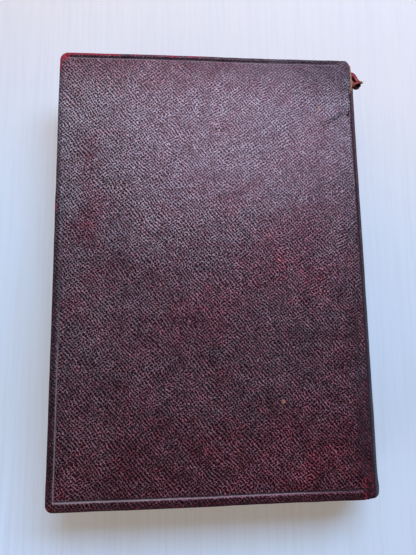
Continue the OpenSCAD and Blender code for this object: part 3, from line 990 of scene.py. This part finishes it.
def fold(edge_a, edge_b, bow, seed, count=26, across=9):
    """A strip of leather between two ragged edges, bowed upwards by a distance in between."""
    a, b = along_curve(edge_a, count), along_curve(edge_b, count)
    share, reach = np.meshgrid(np.linspace(0, 1, across), np.linspace(0, 9, count), indexing="ij")
    points = a * (1 - share[:, :, None]) + b * share[:, :, None]
    points[:, :, 2] += bow * np.sin(math.pi * share) + 0.14 * ripple(reach, share * 4, 2.2, seed)
    points[0, :, :2] += 0.16 * ripple(reach[0], 0, 1.6, seed + 1)[:, None]
    flat = np.stack([reach, share * 3, share * 0 + seed], 2)
    return points.reshape(-1, 3), grid_faces(across, count), flat.reshape(-1, 3), share.ravel()


def curl():
    """A rolled tube of leather, open at the top, with painted shade inside."""
    around = np.linspace(0, 2 * math.pi, 41)[:-1]
    uneven = 1 + 0.06 * ripple(around * 2, 0, 3, 91)
    tip = 0.35 * spot(around, 0.6, 0.25)
    wave = 0.3 * np.sin(around) + 0.12 * ripple(around * 2, 0, 2, 92)
    high, low = CURL_LEVELS
    # Up the outside, over the rim and down the inside, as (depth, share of the wall's thickness)
    levels = [(t, 1.0) for t in np.linspace(1, 0, 9)]
    levels += [(-0.04, 0.5), (-0.02, 0.1)]
    levels += [(t, 0.0) for t in np.linspace(0.05, 0.7, 6)]
    rings, rub, raw, shade = [], [], [], []
    for t, wall in levels:
        depth = max(t, 0)
        thick = wall * (CURL_WALL + tip * (1 - depth))
        rx = CURL_HOLE[0] * (1 + 0.18 * depth) * uneven + thick
        ry = CURL_HOLE[1] * (1 + 0.5 * depth) * uneven + thick
        x = CURL_CENTRE[0] - 0.2 * depth + rx * np.cos(around)
        y = CURL_CENTRE[1] + 0.3 * depth + ry * np.sin(around)
        rings.append(np.stack([x, y, high + (low - high) * t + wave * (1 - depth)], 1))
        rim = 0 < wall < 1 or (wall == 1 and t < 0.1)
        rub.append(0.62 if wall == 1 else 0.3)
        raw.append(0.3 if rim else 0.1)
        shade.append(1.0 if wall < 0.3 else 0.35)
    count = len(around)
    points = np.concatenate(rings)
    faces = tube_faces(count, len(rings))
    faces.append(list(range(len(points) - count, len(points))))
    faces.append(list(range(count))[::-1])
    flat = np.stack([np.tile(around * 2, len(rings)), points[:, 2], points[:, 2] * 0 + 7], 1)
    masks = {"rub": rub, "raw": raw, "shade": shade}
    return points, faces, scrap_masks({key: np.repeat(row, count) for key, row in masks.items()}, flat)


def scrap_masks(masks, flat):
    """All of the leather's masks for a piece of the scrap, from the three that vary over it."""
    masks["raw"] = masks["raw"] + 0.2 * ripple(flat[:, 0], flat[:, 1], 2.5, 61)
    masks["deep_shade"] = 0.95 * masks["shade"]
    for key, value in (("worn_flat", 0.8), ("red", 0.6), ("turn", 0.3), ("dull", 0.4), ("dust_and_sheen", 0.0)):
        masks[key] = np.full(len(flat), value)
    masks["polish_and_highlight"] = np.zeros(len(flat))
    masks["flat"] = flat + np.array([300, 0, 0])
    return masks


def scrap(name):
    """The curled scrap of spine leather that stands beside the joint, crimson outside and raw within."""
    strips = ((LOOP_RIM, LOOP_INNER, 0.75, 51), (LOOP_FOOT, LOOP_RIM, 0.1, 55))
    strips += ((ARM_TOP, ARM_LOW, 0.3, 59), (FIBRE_LEFT, FIBRE_RIGHT, 0.15, 63))
    found = [fold(*strip) for strip in strips]
    loop, foot, arm, fibre = (share for _, _, _, share in found)
    plain = np.ones_like(foot)
    rub = [1.0 - 0.25 * loop, 0.75 * plain, 0.8 - 0.2 * arm, 0.4 * plain]
    # The tan at the loop's crest is painted highlight; elsewhere the tan is raw fibres
    raw = [0.15 + 0.35 * spot(loop, 0.72, 0.12), 0.2 * plain, 0.30 + 0.25 * arm, 0.62 * plain]
    loop_shade = 0.9 * fall(0.2, 0.6, loop) + 0.6 * smooth(0.85, 1, loop)
    fibre_shade = 0.3 * fall(0, 0.4, fibre) + 0.3 * smooth(0.7, 1, fibre)
    shade = [loop_shade, 0.35 * plain, 0 * plain, fibre_shade]
    masks = {"rub": rub, "raw": raw, "shade": shade}
    masks = {key: np.concatenate(rows) for key, rows in masks.items()}
    points = np.concatenate([strip[0] for strip in found])
    faces = [[k * len(plain) + i for i in quad] for k, strip in enumerate(found) for quad in strip[1]]
    flat = np.concatenate([strip[2] for strip in found])
    piece = make_mesh(name, points, faces, scrap_masks(masks, flat))
    thicken(piece, 0.4)
    return piece, make_mesh(name + "_curl", *curl())


# Paper

LEAVES = 150
LEAVES_IN_SECTION = 8
EDGE_POINTS = 26
# How deep the fore-edge is hollowed, and where the leaves start to rise to the shoulder
HOLLOW = 4.6
LIP_X = JOINT_X + 0.3
# What the pastedown goes over: the turn-ins, the mull's flange, and the sunk board between them
TURN_IN_W = 15
FLANGE_W = 24
PASTED_SINK = 0.42


def leaf_outline(z, half_t, jut):
    """The outline of a leaf's face at a level: up the fore-edge, the head, down the back, and the tail.

    jut says how far the leaf stands out at its fore-edge, head and tail."""
    w = (z - MID_Z) / half_t
    hollow_r = (half_t**2 + HOLLOW**2) / (2 * HOLLOW)
    sunk = HOLLOW - (hollow_r - math.sqrt(max(hollow_r**2 - (w * half_t) ** 2, 0)))
    fore_x = block_low[0] + sunk - jut[0]
    fan = w * SPINE_ANGLE * 0.985
    back_x = SPINE_X + BACK_R * math.cos(fan) - 0.25
    back_z = MID_Z + BACK_R * math.sin(fan) * 0.985
    half = block_high[1]
    head_y, tail_y = half + jut[1], -half - jut[2]
    ys = np.linspace(-half, half, EDGE_POINTS)
    ys = ys * np.where(ys > 0, head_y / half, -tail_y / half)
    xs = np.linspace(0, 1, EDGE_POINTS)
    rise = smooth((LIP_X - 3 - fore_x) / (back_x - fore_x), 1, xs)
    xs = fore_x + (back_x - fore_x) * xs
    zs = z + (back_z - z) * rise
    sides = ((fore_x, ys, z), (xs, head_y, zs), (back_x, ys, back_z), (xs, tail_y, zs))
    fore, head, back, tail = (np.stack(np.broadcast_arrays(*side), 1) for side in sides)
    return np.concatenate([fore, head[1:], back[::-1][1:], tail[::-1][1:-1]])


def leaf_face(first):
    """Faces that fill a leaf's outline, from its first point on."""
    side = EDGE_POINTS - 1
    head = [side + j for j in range(EDGE_POINTS)]
    tail = [0] + [4 * side - j for j in range(1, side)] + [3 * side]
    faces = [list(range(EDGE_POINTS)) + [head[1], tail[1]]]
    faces += [[tail[j], head[j], head[j + 1], tail[j + 1]] for j in range(1, side - 1)]
    faces.append([tail[side - 1], head[side - 1]] + list(range(2 * side, 3 * side + 1)))
    return [[first + i for i in face] for face in faces]


def leaf_block(name):
    """The sewn leaves: each leaf's trimmed edges stand a little in or out."""
    rng = np.random.default_rng(SEED + 3)
    # The looks are set on the values that follow this first row of draws
    rng.standard_normal(LEAVES)
    half = block_high[1]
    flat_low, flat_high = TOP - leaf_low[2], leaf_low[2]
    half_t = (flat_high - flat_low) / 2
    step = 2 * half_t / LEAVES
    rings, tones, dusts = [], [], []
    gather = 0
    for leaf in range(LEAVES):
        starts_section = leaf % LEAVES_IN_SECTION == 0
        gather = rng.normal(0, 0.05) if starts_section else gather
        jut = np.clip(rng.normal(0, 0.035, 3) + gather, -0.14, 0.14) - 0.10
        tone = np.clip(0.62 + rng.normal(0, 0.13) - 0.35 * starts_section, 0, 1)
        outer = min(leaf, LEAVES - 1 - leaf) / LEAVES
        for side in (0.06, 0.94):
            ring = leaf_outline(flat_low + (leaf + side) * step, half_t, jut)
            rings.append(ring)
            tones.append(np.full(len(ring), tone))
            dusts.append(0.05 + 0.35 * smooth(half - 1, half, ring[:, 1]) + 0.25 * math.exp(-outer * 40))
    count = len(rings[0])
    points = np.concatenate(rings)
    faces = [[a, d, c, b] for a, b, c, d in tube_faces(count, len(rings))]
    faces += leaf_face(0) + flipped(leaf_face(len(points) - count))
    masks = {"tone": np.concatenate(tones), "dust_and_sheen": np.concatenate(dusts), "flat": points}
    return make_mesh(name, points, faces, masks, smooth_shaded=False)


def path_sheet(path, ys, edge_tone, side=1):
    """A sheet of paper that follows a path in X and Z and runs along Y."""
    path = np.array(path, float)
    x, y = np.meshgrid(path[:, 0], ys)
    z = np.broadcast_to(path[:, 1], x.shape)
    points = np.stack([x, y, z if side > 0 else TOP - z], 2).reshape(-1, 3)
    from_end = ys[-1] - np.abs(points[:, 1])
    from_fore = points[:, 0] - path[:, 0].min()
    toned = edge_tone * np.exp(-np.minimum(from_end, from_fore) / 7)
    return points, grid_faces(len(ys), len(path)), np.clip(toned + 0.05, 0, 1)


def paper_piece(name, points, faces, toned, thickness):
    piece = make_mesh(name, points, faces, {"toned": toned})
    thicken(piece, thickness)
    return piece


def flyleaf(name, side):
    """The free endpaper on the leaves, with its lip up the shoulder."""
    fore_x, base = leaf_low[0], leaf_low[2]
    tip_x, half, tip_z = leaf_high
    xs = stations(fore_x, LIP_X - 0.2, 5, 1.0, (fore_x, LIP_X), 2)
    path = [(x, base + 0.2) for x in xs] + [(LIP_X - 0.05, base + 0.26)]
    for s in (0.25, 0.5, 0.75, 0.98):
        path.append((LIP_X + (tip_x - LIP_X) * s - 0.1, base + 0.3 + (tip_z - base - 0.3) * s))
    ys = stations(-half, half, 5, 1.0, (-half, half), 2)
    points, faces, toned = path_sheet(path, ys, 0.5, side)
    return paper_piece(name, points, faces if side > 0 else flipped(faces), toned, 0.18)


def pastedown(name, side):
    """The pasted endpaper: over the turn-ins, sunk between them, and up the board's joint edge."""
    low, high = box_mm("back_pastedown")
    fore_x, level, half = low[0], low[2], high[1]
    xs = stations(fore_x, JOINT_X - 0.02, 3.5, 0.5, (fore_x, FORE_X + TURN_IN_W, JOINT_X - FLANGE_W), 2)
    path = [(x, level) for x in xs]
    path += [(JOINT_X + 0.02, level + s) for s in (0.25, 1.0, 2.0, TOP - level - 0.85)]
    inner = HALF_H - TURN_IN_W
    ys = stations(-half, half, 3.5, 0.5, (-half, half, -inner, inner), 2)
    points, faces, toned = path_sheet(path, ys, 0.45)
    x, y = points[:, 0], points[:, 1]
    fore, joint = FORE_X + TURN_IN_W, JOINT_X - FLANGE_W
    inside = between(fore - 0.8, fore + 0.8, joint - 0.8, joint + 0.8, x)
    inside = inside * fall(inner - 0.8, inner + 0.8, np.abs(y))
    sunk = (PASTED_SINK - 0.05 * ripple(x, y, 30, 70)) * inside
    points[:, 2] += np.where(x < JOINT_X - 0.01, sunk, 0)
    if side < 0:
        points[:, 2] = TOP - points[:, 2]
    return paper_piece(name, points, faces if side < 0 else flipped(faces), toned, 0.15)


def hinge_paper(name, side):
    """The endpaper's fold in the joint, under the leather, between the board and the leaves."""
    tip_x, half, tip_z = leaf_high
    path = [(JOINT_X + 0.03, TOP - 0.9), (JOINT_X + 0.5, TOP - 1.42), (JOINT_X + 1.0, TOP - 1.85)]
    path.append((tip_x - 0.05, tip_z + 0.05))
    points, faces, toned = path_sheet(path, np.linspace(-half + 0.5, half - 0.5, 30), 0, side)
    return paper_piece(name, points, faces if side > 0 else flipped(faces), toned + 0.2, 0.12)


# The thread's turns round an end band, and the points in and between them
BAND_TURNS = 46
BAND_RING = 16
STEPS_IN_TURN = 6


def end_band(name, side):
    """A headband: cloth wound round a cord on the end of the leaves, with a skirt down the spine."""
    low, high = box_mm("head_band")
    reach = (high[1] - block_high[1]) / 2
    middle_y = block_high[1] + reach
    end_angle = SPINE_ANGLE - math.radians(5)
    steps = BAND_TURNS * STEPS_IN_TURN
    i, k = np.meshgrid(np.arange(steps + 1), np.arange(BAND_RING), indexing="ij")
    angle = -end_angle + 2 * end_angle * i / steps
    around = 2 * math.pi * k / BAND_RING
    thread = 0.10 * np.abs(np.sin(math.pi * i / STEPS_IN_TURN))
    r = (reach - 0.12 + thread) * (1.0 + 0.05 * np.sin(around * 2))
    out = BACK_R - 0.9 * reach + r * np.cos(around)
    y = middle_y + r * np.sin(around)
    cord = on_round(out, angle, y)
    stripe = (i // (2 * STEPS_IN_TURN)) % 2
    dust_and_sheen = 0.45 * np.clip(np.sin(around), 0, None)
    flat = np.stack([out * angle, y, around], 2).reshape(-1, 3)
    faces = tube_faces(BAND_RING, steps + 1)
    faces.append(list(range(BAND_RING))[::-1])
    faces.append(list(range(steps * BAND_RING, (steps + 1) * BAND_RING)))

    skirt_y = np.linspace(low[1], middle_y, 8)
    y, angle = np.meshgrid(skirt_y, np.linspace(-end_angle, end_angle, 60), indexing="ij")
    skirt = on_round(BACK_R + 0.25, angle, y)
    skirt_stripe = ((angle + end_angle) / (2 * end_angle) * BAND_TURNS / 2).astype(int) % 2
    skirt_flat = np.stack([(BACK_R + 0.2) * angle, y, y * 0], 2).reshape(-1, 3)
    faces += grid_faces(*y.shape, len(cord))

    points = np.concatenate([cord, skirt])
    if side < 0:
        points[:, 1] *= -1
        faces = flipped(faces)
    masks = {
        "stripe": np.concatenate([stripe.ravel(), skirt_stripe.ravel()]),
        "dust_and_sheen": np.concatenate([dust_and_sheen.ravel(), np.full(len(skirt), 0.3)]),
        "flat": np.concatenate([flat, skirt_flat]),
    }
    return make_mesh(name, points, faces, masks)


# Build the pieces

LEATHER = leather()
PAPER = plain_paper("endpaper", (0.66, 0.56, 0.40), (0.52, 0.41, 0.26))
EDGES = page_edges()
BAND = band_cloth()
BOARD = card("millboard", (0.34, 0.27, 0.19), (0.16, 0.12, 0.085))
INLAY = card("inlay_card", (0.36, 0.24, 0.13), (0.15, 0.085, 0.045))
LINING = card("lining_paper", (0.26, 0.16, 0.085), (0.12, 0.065, 0.035), 0.4)
MULL = woven("mull_cloth", (0.52, 0.43, 0.30), (0.22, 0.15, 0.09), 0.9)
CORD = card("cord_fibres", (0.45, 0.34, 0.2), (0.2, 0.13, 0.07), 1.5)

for side_name, side in (("back", 1), ("front", -1)):
    skin = cover_skin(side_name + "_skin", side, 100 if side > 0 else 200, side > 0)
    dress(skin, LEATHER)
    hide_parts(side_name + "_cover_leather", side_name + "_joint_leather")
    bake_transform(skin)

    leaf = flyleaf(side_name + "_free_endpaper", side)
    dress(leaf, PAPER)
    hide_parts(side_name + "_flyleaf")
    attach(leaf, "book_block")

    pasted = pastedown(side_name + "_pasted_endpaper", side)
    dress(pasted, PAPER)
    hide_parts(side_name + "_pastedown")
    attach(pasted, side_name + "_cover")

    hinge = hinge_paper(side_name + "_endpaper_fold", side)
    dress(hinge, PAPER)
    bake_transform(hinge)

spine = spine_skin("spine_skin")
dress(spine, LEATHER)
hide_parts("spine_leather")
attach(spine, "book_block")

for torn in scrap("torn_scrap"):
    dress(torn, LEATHER)
    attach(torn, "book_block")

leaves = leaf_block("leaves")
dress(leaves, EDGES)
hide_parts("text_block")
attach(leaves, "book_block")

for band_name, side in (("head_band", 1), ("tail_band", -1)):
    band = end_band(band_name + "_cloth", side)
    dress(band, BAND)
    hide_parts(band_name)
    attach(band, "book_block")

# Solids of the CAD that stay as they are, with their looks
CARRIED = {
    "sewing_cords": CORD, "mull_lining": MULL, "paper_lining": LINING, "spine_inlay": INLAY,
    "front_board": BOARD, "back_board": BOARD, "front_mull_flange": MULL, "back_mull_flange": MULL,
    "front_cord_slips": CORD, "back_cord_slips": CORD,
}
for node, material in CARRIED.items():
    dress(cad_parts[node], material)


# The setting

# The table is a little below the part, so that it doesn't touch a face
FLOOR_Z = -0.4
FLOOR_HALF = 6000.0
# The photo's camera, found by a fit of the cover's edges
CAMERA_AT = (-12.3, -29.8, 210.0)
CAMERA_TARGET = (0.6, -5.3, TOP)
CAMERA_ROLL = math.radians(-0.848)
LENS = 27.57
BACKDROP = (0.80, 0.83, 0.90)
PAINTED_WARM_GLOW = (0.22, 0.17, 0.13)


def floor_material():
    """A pale, cool table top, with painted light: warmer towards the head, brighter beyond the book's tail,
    bluer at the bottom-left, and a painted warm glow.
    """
    paint = Paint("table_top", roughness=0.7, specular=0.2)
    at = paint.place()
    parts = paint.node("ShaderNodeSeparateXYZ", {"Vector": at}).outputs
    drift = paint.noise(at, 3.0, 2.0)
    colour = paint.mix(drift, (0.32, 0.445, 0.60), (0.36, 0.485, 0.64))
    # Painted light: warmer and paler towards the head
    far = paint.step(paint.scale_add(parts["X"], 0.25, parts["Y"]), -0.03, 0.15)
    colour = paint.mix(far, colour, (0.445, 0.43, 0.475))
    # Painted light: brighter beyond the book's tail
    colour = paint.scaled(colour, paint.step(parts["Y"], -0.15, -0.05, 1.20, 1.0))
    # Painted light: brighter and bluer at the bottom-left corner
    corner = paint.step(paint.scale_add(parts["X"], 0.8, parts["Y"]), -0.24, -0.12, 1.0, 0.0)
    colour = paint.mix(corner, colour, (1.07, 1.15, 1.24), "MULTIPLY")
    boards = paint.vector("MULTIPLY", at, (1.0, 0.03, 1.0))
    streaks = paint.step(paint.noise(boards, 520.0, 3.0, 0.7), 0.40, 0.70)
    colour = paint.mix(paint.times(streaks, 0.22), colour, (0.26, 0.34, 0.42))
    paint.finish(colour)

    # Far from the book, the camera sees the table run out into the pale background
    away = paint.node("ShaderNodeVectorMath", {0: at}, operation="LENGTH").outputs["Value"]
    seen = paint.node("ShaderNodeLightPath", {}).outputs["Is Camera Ray"]
    fade = paint.times(paint.step(away, 0.24, 0.56), seen)
    pale = paint.node("ShaderNodeEmission", {"Color": BACKDROP, "Strength": 1.0}).outputs[0]
    # Painted warm light: a glow that only the camera sees, on the table and in its shadow too
    warm = paint.node("ShaderNodeEmission", {"Color": PAINTED_WARM_GLOW, "Strength": seen}).outputs[0]
    table = paint.node("ShaderNodeAddShader", {0: paint.shader.outputs[0], 1: warm}).outputs[0]
    mixed = paint.node("ShaderNodeMixShader", {0: fade, 1: table, 2: pale}).outputs[0]
    paint.set(paint.tree.nodes["Material Output"].inputs["Surface"], mixed)
    return paint.material


def make_floor():
    """A table top that is wide enough for every view."""
    signs = ((-1, -1), (1, -1), (1, 1), (-1, 1))
    corners = [(x * FLOOR_HALF, y * FLOOR_HALF, FLOOR_Z) for x, y in signs]
    floor = make_mesh("table", corners, [[0, 1, 2, 3]], smooth_shaded=False)
    dress(floor, floor_material())


def look_at(location, target, roll):
    """The turn that points a camera or lamp from a place at a target, in radians of roll."""
    ahead = (Vector(target) - Vector(location)).normalized()
    right = ahead.cross(Vector((0, 1, 0))).normalized()
    up = right.cross(ahead)
    turned_right = right * math.cos(roll) + up * math.sin(roll)
    turned_up = up * math.cos(roll) - right * math.sin(roll)
    return Matrix((turned_right, turned_up, -ahead)).transposed().to_4x4()


def make_camera():
    """A phone held above the book, from where the photo was taken."""
    location = Vector(CAMERA_AT) * MM
    data = bpy.data.cameras.new("camera")
    data.sensor_fit = "VERTICAL"
    data.sensor_height = 36
    data.lens = LENS
    data.clip_start = 0.01
    camera = bpy.data.objects.new("camera", data)
    turn = look_at(location, Vector(CAMERA_TARGET) * MM, CAMERA_ROLL)
    camera.matrix_world = Matrix.Translation(location) @ turn
    bpy.context.scene.collection.objects.link(camera)
    bpy.context.scene.camera = camera


def make_lamp(name, location, target, size, power, colour):
    data = bpy.data.lights.new(name, "AREA")
    data.shape = "RECTANGLE"
    data.size, data.size_y = size
    data.energy = power
    data.color = colour
    lamp = bpy.data.objects.new(name, data)
    lamp.matrix_world = Matrix.Translation(Vector(location)) @ look_at(location, target, 0)
    bpy.context.scene.collection.objects.link(lamp)


def make_world():
    """A warm room, brighter around than overhead, which the camera sees as a plain pale backdrop."""
    world = bpy.data.worlds.new("world")
    world.use_nodes = True
    nodes = Nodes(world.node_tree)
    at = nodes.node("ShaderNodeTexCoord", {}).outputs["Generated"]
    height = nodes.node("ShaderNodeSeparateXYZ", {0: at}).outputs["Z"]
    level = {"Value": height, "From Min": 0.0, "From Max": 1.0, "To Min": 0.28, "To Max": 0.06}
    room = nodes.tree.nodes["Background"]
    nodes.set(room.inputs["Color"], (1.0, 0.88, 0.80))
    nodes.set(room.inputs["Strength"], nodes.node("ShaderNodeMapRange", level).outputs[0])
    pale = nodes.node("ShaderNodeBackground", {"Color": BACKDROP, "Strength": 1.0}).outputs[0]
    seen = nodes.node("ShaderNodeLightPath", {}).outputs["Is Camera Ray"]
    mixed = nodes.node("ShaderNodeMixShader", {0: seen, 1: room.outputs[0], 2: pale}).outputs[0]
    nodes.set(nodes.tree.nodes["World Output"].inputs[0], mixed)
    bpy.context.scene.world = world


make_floor()
make_camera()
make_lamp("window", (0.14, 0.31, 0.50), (0.03, 0, 0.02), (0.50, 0.22), 5.5, (0.57, 0.75, 0.94))
make_lamp("room", (-0.10, 0.40, 0.36), (0, 0.08, 0.02), (0.4, 0.3), 0.8, (1.0, 0.70, 0.52))
make_lamp("fill", (-0.55, -0.50, 0.25), (0, 0, 0), (0.7, 0.4), 2.2, (1.0, 0.84, 0.72))
make_world()
bpy.context.scene.view_settings.view_transform = "Standard"
